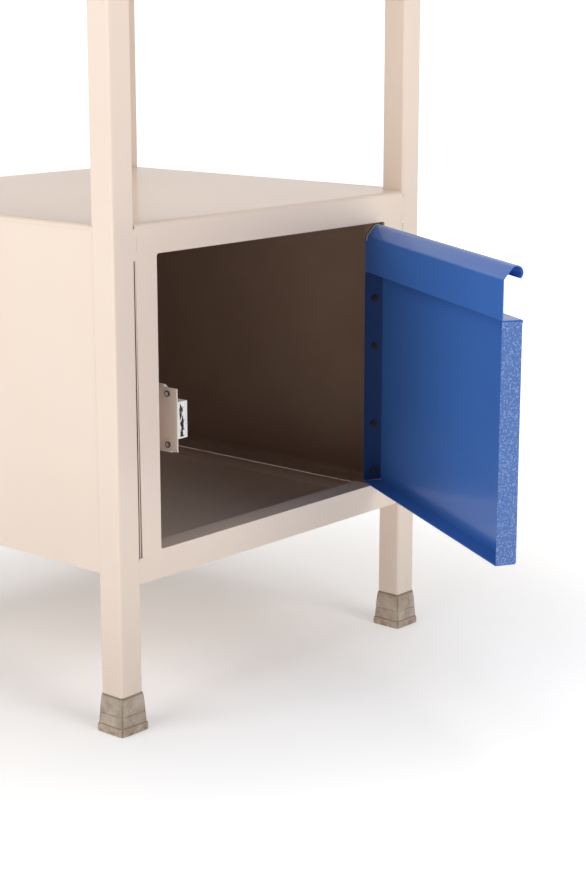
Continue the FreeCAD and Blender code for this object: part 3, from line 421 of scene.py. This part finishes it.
# %% Rubber
def shoe_rubber():
    finish = Finish("grey_rubber", Specular_IOR_Level=0.35)
    cloud = finish.noise(0.014, 5.0, 0.62)
    speck = finish.noise(0.0018, 3.0)
    x, y, z = finish.axes()
    colour = finish.blend(cloud.step(0.3, 0.7), (0.37, 0.295, 0.23, 1), (0.56, 0.475, 0.395, 1))
    wavy = z - 1.2 * MM * finish.noise(0.02, 2.0)
    patch = finish.noise(0.009, 4.0)
    blush = (1.0 - abs(wavy - 4.5 * MM).step(1.0 * MM, 4.2 * MM)) * patch.step(0.35, 0.6)
    colour = finish.blend(blush * 0.5, colour, (0.52, 0.33, 0.23, 1))
    # Painted shade: the step above the band, the mould line, the corners and the rim are darkened.
    step = 1.0 - abs(wavy - 6.8 * MM).step(0.2 * MM, 1.0 * MM)
    mould = (1.0 - abs(wavy - 16.6 * MM).step(0.2 * MM, 0.9 * MM)) * patch.step(0.3, 0.55)
    centre = float(WIDE - TUBE / 2)
    along_x, along_y = abs(abs(x) - centre), abs(abs(y) - centre)
    reach = along_x.at_least(along_y)
    corner = (along_x.at_most(along_y) / reach).step(0.90, 0.95) * finish.noise(0.02, 3.0).step(0.25, 0.5)
    rim = (z - 31.8 * MM).step(0.0, 1.0 * MM)
    dark = (step * 0.55).at_least(mould * 0.5).at_least(corner * 0.5).at_least(rim * 0.5)
    colour = finish.blend(dark, colour, (0.13, 0.085, 0.055, 1))
    dirt = (9 * MM - z).step(0.0, 9 * MM) * finish.noise(0.006, 4.0).step(0.4, 0.7)
    colour = finish.blend(dirt * 0.6, colour, (0.16, 0.11, 0.08, 1))
    finish.feed("Base Color", colour)
    finish.feed("Roughness", 0.58 + 0.22 * speck)
    finish.feed("Normal", finish.relief(speck * 0.6 + cloud, 0.10 * MM, 0.6))
    print("rubber:", len(finish.tree.nodes), "nodes")
    return finish.material


RUBBER = shoe_rubber()


# %% [markdown]
# ## Metals
# The worktop is brushed stainless: its grain is noise stretched 60 times along the brush's way. The
# fixings are zinc plated, and the nuts and screws of the door's hinges have gone dark.

# %% Metals
def brushed_steel():
    finish = Finish("stainless", Metallic=1.0)
    stretched = finish.node("Mapping", {"Vector": finish.place(), "Scale": (1.0, 60.0, 60.0)})
    brush = finish.noise(0.05, 6.0, 0.7, stretched)
    finish.feed("Base Color", finish.blend(brush, (0.52, 0.52, 0.51, 1), (0.68, 0.68, 0.67, 1)))
    finish.feed("Roughness", 0.24 + 0.16 * brush)
    finish.feed("Normal", finish.relief(brush, 0.02 * MM, 0.4))
    return finish.material


def plated(name, dark, light, rough, depth):
    """Plated or oxidised metal: mottled between two colours."""
    finish = Finish(name, Metallic=1.0)
    mottle = finish.noise(0.003, 4.0, 0.6)
    finish.feed("Base Color", finish.blend(mottle, (*dark, 1), (*light, 1)))
    finish.feed("Roughness", rough + 0.2 * mottle)
    finish.feed("Normal", finish.relief(mottle, depth, 0.5))
    return finish.material


STAINLESS = brushed_steel()
ZINC = plated("zinc", (0.48, 0.47, 0.44), (0.70, 0.69, 0.66), 0.22, 0.02 * MM)
DARK_STEEL = plated("dark_steel", (0.030, 0.022, 0.018), (0.10, 0.07, 0.055), 0.5, 0.05 * MM)
print("metals", STAINLESS.name, ZINC.name, DARK_STEEL.name)


# %% [markdown]
# ## The catch
# The catch is a white moulding round a ferrite magnet. Its working face has two steel plates, which a
# hard step on noise draws as pale islands with near-black gaps of painted jagged shadow. The catch's two
# screws are the only bright fixings in sight, so their heads get a pale ring of painted highlight between a
# dark rim and a dark recess of painted shade: the distance from the screw's own axis, which the CAD node's
# box gives, picks the dark and pale rings.

# %% Plastics and catch
def moulding(name, dark, light, rough, coat):
    finish = Finish(name, Coat_Weight=coat, Coat_Roughness=0.1)
    cloud = finish.noise(0.01, 4.0)
    finish.feed("Base Color", finish.blend(cloud, (*dark, 1), (*light, 1)))
    finish.feed("Roughness", rough + 0.12 * finish.noise(0.002, 3.0))
    finish.feed("Normal", finish.relief(finish.noise(0.0015, 2.0), 0.02 * MM, 0.4))
    return finish.material


def pole_face():
    """The catch's working face: pale plates, and near-black gaps of painted shadow between them."""
    finish = Finish("pole_face", Specular_IOR_Level=0.3)
    tall = finish.node("Mapping", {"Vector": finish.place(), "Scale": (1.0, 1.0, 0.35)})
    # Painted shadow: the near-black gaps between the pale islands.
    plate_not_shadow = finish.noise(0.0042, 4.0, 0.6, tall).step(0.47, 0.53)
    finish.feed("Base Color", finish.blend(plate_not_shadow, (0.02, 0.018, 0.016, 1), (0.84, 0.82, 0.79, 1)))
    finish.feed("Roughness", 0.40 + 0.3 * plate_not_shadow)
    finish.feed("Normal", finish.relief(plate_not_shadow, 0.3 * MM, 0.6))
    return finish.material


def driven_head():
    """A screw head that lies along x: a pale ring of painted highlight between a dark rim and a dark recess of
    painted shade.
    """
    finish = Finish("driven_head", Metallic=0.7)
    low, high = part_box("catch_screws")
    reach = float(high.y - low.y) / 2
    y, z = finish.axes()[1:]
    across = y - float(low.y + high.y) / 2
    up = abs(z - float(low.z + high.z) / 2) - float(high.z - low.z) / 2 + reach
    far = ((across * across + up * up) ** 0.5) / reach
    # Painted highlight ring, with painted shade at the rim and in the recess.
    highlight_ring = far.step(0.55, 0.72, 1.0, 0.0) * far.step(0.12, 0.25)
    finish.feed("Base Color", finish.blend(highlight_ring, (0.10, 0.09, 0.08, 1), (0.92, 0.91, 0.88, 1)))
    finish.feed("Roughness", 0.32 + 0.15 * finish.noise(0.0008, 2.0))
    return finish.material


WHITE_PLASTIC = moulding("white_plastic", (0.82, 0.80, 0.77), (0.88, 0.87, 0.85), 0.40, 0.1)
FERRITE = moulding("ferrite", (0.02, 0.02, 0.022), (0.05, 0.05, 0.05), 0.6, 0.0)
POLE_FACE = pole_face()
DRIVEN_HEAD = driven_head()
print("plastics", WHITE_PLASTIC.name, FERRITE.name, POLE_FACE.name, DRIVEN_HEAD.name)

# %% [markdown]
# ## Finishes for the CAD nodes
# The record says which finish each node has. A few nodes then get the variant that suits their place.

# %% Give every CAD node its finish
SLOT_FINISH = {"ivory_enamel": IVORY, "blue_enamel": BLUE, "stainless": STAINLESS, "grey_rubber": RUBBER,
               "zinc": ZINC, "ferrite": FERRITE, "white_plastic": WHITE_PLASTIC}
for part in frame["record"]["subparts"]:
    item = nodes[part["node"]]
    item.data.materials.clear()
    item.data.materials.append(SLOT_FINISH[part["material_slot"]])
for name in ("hinge_door_nuts", "hinge_door_screws"):
    nodes[name].data.materials[0] = DARK_STEEL
# The hinge leaves sit deep in the door's hollow and get the nearly navy blue, which is painted shade.
for name in ("hinge_door_leaf_lower", "hinge_door_leaf_upper"):
    nodes[name].data.materials[0] = BLUE_SHADED
for name in ("catch_magnet", "catch_pole_plates"):
    nodes[name].data.materials[0] = POLE_FACE
nodes["catch_screws"].data.materials[0] = DRIVEN_HEAD


# %% [markdown]
# ## Surfaces from numpy
# Every new piece is a grid of points: rows follow one parameter and columns the other. `surface`
# turns a (rows, columns, 3) array into a mesh, closing it round the columns where asked.

# %% Grid to mesh
def surface(name, grid, body, finish, wrap=False, caps=False):
    """A mesh on a grid of points; wrap closes each row, and caps close the first and last rows."""
    rows, columns = grid.shape[:2]
    index = np.arange(rows * columns).reshape(rows, columns)
    if wrap:
        index = np.concatenate([index, index[:, :1]], axis=1)
    quads = np.stack([index[:-1, :-1], index[:-1, 1:], index[1:, 1:], index[1:, :-1]], axis=-1)
    faces = quads.reshape(-1, 4).tolist()
    if caps:
        faces.append(index[0, :columns][::-1].tolist())
        faces.append(index[-1, :columns].tolist())
    mesh = bpy.data.meshes.new(name)
    mesh.from_pydata(grid.reshape(-1, 3).tolist(), [], faces)
    mesh.polygons.foreach_set("use_smooth", np.full(len(mesh.polygons), True))
    item = bpy.data.objects.new(name, mesh)
    bpy.context.scene.collection.objects.link(item)
    mesh.materials.append(finish)
    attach(item, body)
    return item


def face_outwards(item):
    """Turn a closed mesh so that its volume is positive."""
    mesh = item.data
    mesh.calc_loop_triangles()
    points = np.zeros(len(mesh.vertices) * 3)
    mesh.vertices.foreach_get("co", points)
    corners = np.zeros(len(mesh.loop_triangles) * 3, int)
    mesh.loop_triangles.foreach_get("vertices", corners)
    a, b, c = points.reshape(-1, 3)[corners.reshape(-1, 3)].transpose(1, 0, 2)
    volume = float(np.einsum("ij,ij->i", a, np.cross(b, c)).sum()) / 6
    if volume < 0:
        mesh.flip_normals()
    mesh.update()
    return abs(volume)


def sharp_by_angle(item, degrees):
    """Keep flat faces flat: edges steeper than the angle are marked sharp."""
    item.data.set_sharp_from_angle(angle=math.radians(degrees))


print("surface() is ready")


# %% [markdown]
# ## Rubber shoes
# A shoe is moulded in one piece. Seen from above it is a square with rounded corners, which the
# superellipse |x|^n + |y|^n = h^n draws in one formula. Its half width h changes with height: a band
# round the base, a step, a wall that leans in and rounds over at the rim, and the lip that grips the
# leg. Two faint lines round the wall are left by the mould.

# %% Shoes
def moulded_shoe(name):
    """Rows go round the shoe and columns run along its profile.

    The half width h(height) comes from the profile table, and the radius at angle a is
    h / (|cos a|^n + |sin a|^n)^(1/n).
    """
    low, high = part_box(name)
    centre = (low + high) / 2
    base = (high.x - low.x) / 2 / MM
    tall = (high.z - low.z) / MM
    leg = TUBE / MM / 2 + 0.15
    band = [(0.0, 0.0), (base - 2.5, 0.0), (base - 1.0, 0.0), (base - 0.25, 0.25), (base, 1.0),
            (base - 0.05, 5.6), (base - 0.25, 6.3), (base - 0.75, 6.6)]
    outside = [(base - 0.95, 7.0), (base - 1.0, 8.0), (base - 1.35, 13.0), (base - 1.6, 16.6),
               (base - 1.85, 16.9), (base - 1.85, 17.2), (base - 1.65, 17.5), (base - 1.85, 21.0),
               (base - 2.2, 26.0), (base - 2.5, 29.0)]
    rim = [(base - 2.8, tall - 2.6), (base - 3.2, tall - 1.2), (base - 3.5, tall - 0.35), (base - 3.7, tall),
           (leg + 0.25, tall)]
    socket = [(leg, tall - 0.3), (leg, 12.0), (leg, 4.0), (0.0, 4.0)]
    profile = np.array(band + outside + rim + socket)
    steps = 96
    angle = np.linspace(0.0, 2 * math.pi, steps, endpoint=False) + math.pi / steps
    sharp = 11.0
    square = (np.abs(np.cos(angle)) ** sharp + np.abs(np.sin(angle)) ** sharp) ** (-1 / sharp)
    reach = profile[:, :1] * square[None, :]
    lean = 0.12 * np.sin(3 * angle + base)[None, :] * (profile[:, 1:] / tall)
    x = centre.x + (reach + lean) * np.cos(angle)[None, :] * MM
    y = centre.y + (reach + lean) * np.sin(angle)[None, :] * MM
    z = np.repeat(profile[:, 1:] * MM + low.z, steps, axis=1)
    grid = np.stack([x, y, z], axis=-1)
    item = surface(name + "_moulding", grid, "carcass", RUBBER, wrap=True)
    face_outwards(item)
    sharp_by_angle(item, 40)
    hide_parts(name)
    return item


for end in ("front", "rear"):
    for side in ("left", "right"):
        shoe = moulded_shoe(f"shoe_{end}_{side}")
print("shoes have", len(shoe.data.polygons), "faces each")


# %% [markdown]
# ## Folded sheet
# The door and the drawer front are each one blank, folded on a press. A folded section is a line of
# straight runs joined by arcs. `folded` rounds the corners of a line of points, `wall` gives the line
# its thickness by stepping half of it to either side, and `run` carries the closed outline along the
# front's width.

# %% Folding tools
def folded(corners, radii, arc=7):
    """Round the inner corners of a line of 2-D points.

    At a corner with turn t and radius r the arc starts r tan(t/2) before it and ends as far after it.
    """
    corners = np.array(corners, float)
    out = [corners[:1]]
    for before, corner, after, radius in zip(corners, corners[1:], corners[2:], radii):
        back = (before - corner) / np.linalg.norm(before - corner)
        on = (after - corner) / np.linalg.norm(after - corner)
        half = math.acos(np.clip(np.dot(back, on), -1, 1)) / 2
        middle = corner + (back + on) / np.linalg.norm(back + on) * radius / math.sin(half)
        start, stop = corner + back * radius / math.tan(half), corner + on * radius / math.tan(half)
        first = math.atan2(*(start - middle)[::-1])
        last = math.atan2(*(stop - middle)[::-1])
        sweep = (last - first + math.pi) % (2 * math.pi) - math.pi
        turn = first + sweep * np.linspace(0, 1, arc)
        out.append(middle + radius * np.stack([np.cos(turn), np.sin(turn)], axis=1))
    out.append(corners[-1:])
    return np.concatenate(out)


def wall(line, thick):
    """The closed outline of a sheet whose middle is the line: half the thickness to either side."""
    along = np.gradient(line, axis=0)
    along /= np.linalg.norm(along, axis=1, keepdims=True)
    across = np.stack([-along[:, 1], along[:, 0]], axis=1) * thick / 2
    return np.concatenate([line + across, (line - across)[::-1]])


def run(name, outline, start, stop, place, body, finish):
    """Carry a closed outline of (depth, height) along the width from start to stop."""
    spans = np.linspace(start, stop, 9)
    grid = np.stack([np.stack([place(u, v, z) for v, z in outline]) for u in spans])
    item = surface(name, grid, body, finish, wrap=True)
    close_sheet_ends(item, len(outline), len(spans))
    face_outwards(item)
    sharp_by_angle(item, 35)
    return item


def close_sheet_ends(item, count, rows):
    """Close both ends of a run of sheet with quads between its two sides."""
    mesh = item.data
    half = count // 2
    here = np.arange(half - 1)
    first = np.stack([here, here + 1, count - 2 - here, count - 1 - here], axis=1)
    last = first[:, ::-1] + (rows - 1) * count
    points = np.zeros(len(mesh.vertices) * 3)
    mesh.vertices.foreach_get("co", points)
    faces = [list(face.vertices) for face in mesh.polygons] + first.tolist() + last.tolist()
    mesh.clear_geometry()
    mesh.from_pydata(points.reshape(-1, 3).tolist(), [], faces)
    mesh.polygons.foreach_set("use_smooth", np.full(len(mesh.polygons), True))


print("folding tools are ready")


# %% [markdown]
# ## The pressed front
# From the bottom the sheet runs: foot flange, skin, ledge, the web behind the fingers, a slope and a
# rolled lip. The lip is an arc that carries on round past its outermost point, so its edge turns
# back in and can't cut a hand. Both side flanges stop under the ledge. Their bend is a quarter round.

# %% Section of the front
DEEP = 18.5
PULL = 43.6
ROLL = 6.1
LIP_SET = 0.8
FLANGE_GAP = 0.6
DOOR_WIDE = 299.5
PIN_OUT = 2.1


def pull_line(tall):
    """The middle line of the skin's top, ledge, web, slope and rolled lip, as depth and height."""
    half = SHEET / MM / 2
    ledge = tall - PULL
    centre = np.array((ROLL + LIP_SET, tall - ROLL))
    radius = ROLL - half
    slope = math.radians(51)
    toward = np.array((math.sin(slope), math.cos(slope)))
    start = centre + radius * toward
    reach = (DEEP - half - start[0]) / math.cos(slope)
    knee = start + reach * np.array((math.cos(slope), -math.sin(slope)))
    corners = [(half, ledge - 3.0), (half, ledge - half), (DEEP - half, ledge - half), knee, start]
    line = folded(corners, [1.3, 0.9, 3.2])
    turn = np.radians(np.linspace(39, 232, 26))
    lip = centre + radius * np.stack([np.cos(turn), np.sin(turn)], axis=1)
    return np.concatenate([line[:-1], lip])


def pressed_front(name, wide, tall, place, body, cad):
    """Build the front from a pull run, a skin run and two side flanges, all in millimetres."""
    half = SHEET / MM / 2
    thick = SHEET / MM
    ledge = tall - PULL
    bend = 1.4
    pieces = [run(name + "_pull", wall(pull_line(tall), thick), 0.0, wide, place, body, BLUE)]
    skin = folded([(DEEP, half), (half, half), (half, ledge - 3.0)], [bend])
    pieces.append(run(name + "_skin", wall(skin, thick), bend, wide - bend, place, body, BLUE))
    for number, (edge, inward) in enumerate(((0.0, 1), (wide, -1))):
        turn = folded([(bend + 0.01, half), (half, half), (half, DEEP)], [bend - half])
        outline = wall(turn, thick)

        def side(u, v, z, edge=edge, inward=inward):
            return place(edge + inward * v, z, u)

        # The free flange gets the blue with painted highlight grains, the hinge flange the nearly navy blue of
        # painted shade.
        coat = BLUE_SPARKLE if number else BLUE_SHADED
        top = ledge - thick - FLANGE_GAP
        pieces.append(run(f"{name}_flange_{number}", outline, bend, top, side, body, coat))
    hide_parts(cad)
    return pieces


def door_place(u, v, z):
    """From the door's width, depth and height to the row's metres, with the door standing open."""
    x, y = -DOOR_SIDE - u, PIN_OUT + v
    cos, sin = math.cos(DOOR_ANGLE), math.sin(DOOR_ANGLE)
    across, out = (x * cos - y * sin) * MM, (x * sin + y * cos) * MM
    return np.array((PIN[0] + across, PIN[1] + out, door_low.z + z * MM))


def drawer_place(u, v, z):
    """From the drawer front's width, depth and height to the row's metres."""
    return np.array((front_high.x - u * MM, front_low.y + v * MM, front_low.z + z * MM))


door_low, door_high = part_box("door_panel")
door = pressed_front("door", DOOR_WIDE, (door_high.z - door_low.z) / MM, door_place, "door", "door_panel")
front_low, front_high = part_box("drawer_front")
front_wide, front_tall = (front_high.x - front_low.x) / MM, (front_high.z - front_low.z) / MM
drawer = pressed_front("drawer", front_wide, front_tall, drawer_place, "drawer", "drawer_front")
print("fronts", [len(item.data.polygons) for item in door + drawer])

# %% [markdown]
# ## Ground welds
# The stand is welded where its sheets meet the tubes, and the welds are ground flush before it is
# painted. What is left is a shallow, slightly wavy strip that fills the groove beside a tube's round
# corner. Each is a lens section carried along its seam. Thin strips of the same kind are the paint that
# has run into the seam under the cabinet's top and into the slit beside the left leg.

# %% Welds
def ground_weld(name, start, stop, outward, across, wide, bulge, seed):
    """A strip along a seam: a flat lens of the given width that stands bulge proud of the seam.

    Height over the seam at s across it, from -1 to 1, is bulge (1 - s^2), with a small seeded wave
    along the length, and the back of the strip is a shallow vee.
    """
    start, stop = np.array(start, float), np.array(stop, float)
    outward, across = np.array(outward, float), np.array(across, float)
    length = np.linalg.norm(stop - start)
    count = max(6, int(length / (2.5 * MM)))
    along = np.linspace(0, 1, count)
    wave = np.random.default_rng(seed).normal(0, 1, (count, 2))
    kernel = np.array([1, 3, 5, 3, 1]) / 13
    wave = np.stack([np.convolve(wave[:, i], kernel, mode="same") for i in range(2)], axis=1)
    s = np.concatenate([np.linspace(-1, 1, 9), np.linspace(1, -1, 5)[1:-1]])
    front = np.arange(len(s)) < 9
    lift = np.where(front, bulge * (1 - s ** 2), -0.45 * wide * (1 - np.abs(s)))
    lift = lift[None, :] + np.where(front, 1, 0)[None, :] * 0.04 * MM * wave[:, :1] * (1 - s ** 2)[None, :]
    offset = s[None, :] * wide / 2 * (1 + 0.06 * wave[:, 1:])
    grid = (start + (stop - start) * along[:, None])[:, None, :]
    grid = grid + offset[..., None] * across + lift[..., None] * outward
    item = surface(name, grid, "carcass", IVORY, wrap=True, caps=True)
    face_outwards(item)
    return item


WELD_WIDE = 4.6 * MM
Z_LOW, Z_HIGH = float(frame_low.z), float(frame_high.z)
SLIT_LOW, SLIT_HIGH = Z_LOW + 22.5 * MM, Z_HIGH - 26.5 * MM
made = 0
for side, right in (("left", -1), ("right", 1)):
    seam = right * BAY
    for part, low, high in (("low", Z_LOW, SLIT_LOW), ("high", SLIT_HIGH, Z_HIGH)):
        ground_weld(f"weld_frame_{side}_{part}", (seam, -WIDE, low), (seam, -WIDE, high), (0, -1, 0),
                    (1, 0, 0), WELD_WIDE, -0.02 * MM, 10 + made)
        made += 1
    for end, back in (("front", -1), ("rear", 1)):
        ground_weld(f"weld_side_{side}_{end}", (right * WIDE, back * BAY, side_low.z),
                    (right * WIDE, back * BAY, top_high.z - 1.0 * MM), (right, 0, 0), (0, 1, 0),
                    WELD_WIDE, -0.08 * MM, 20 + made)
        made += 1
    ground_weld(f"weld_back_{side}", (seam, WIDE, side_low.z), (seam, WIDE, side_high.z), (0, 1, 0),
                (1, 0, 0), WELD_WIDE, -0.08 * MM, 40 + made)
    made += 1
SEAMS = {"left": ((-WIDE, BAY), (-1, 0, 0), (1, -1, 1)), "right": ((WIDE, BAY), (1, 0, 0), (1, -1, 1)),
         "back": ((BAY, WIDE), (0, 1, 0), (-1, 1, 1))}
for side, (corner, outward, mirror) in SEAMS.items():
    start = np.array((*corner, side_high.z - 0.1 * MM))
    stop = start * mirror
    ground_weld(f"paint_in_seam_{side}", start, stop, outward, (0, 0, 1), 1.8 * MM, -0.30 * MM, 70 + made)
    made += 1
slit_foot, slit_top = (-BAY + 0.25 * MM, -WIDE, SLIT_LOW), (-BAY + 0.05 * MM, -WIDE, SLIT_HIGH)
fillet = ground_weld("paint_in_slit", slit_foot, slit_top, (0, -1, 0), (1, 0, 0), 0.9 * MM, -0.05 * MM, 60)
print(made, "welds and painted seams, and", round(fillet.dimensions.z, 3), "m of paint in the left slit")

# %% [markdown]
# ## Measure
# The box of everything that shows is printed.

# %% Measure
low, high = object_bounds()
print("visual box", [round(v, 4) for v in low], [round(v, 4) for v in high])
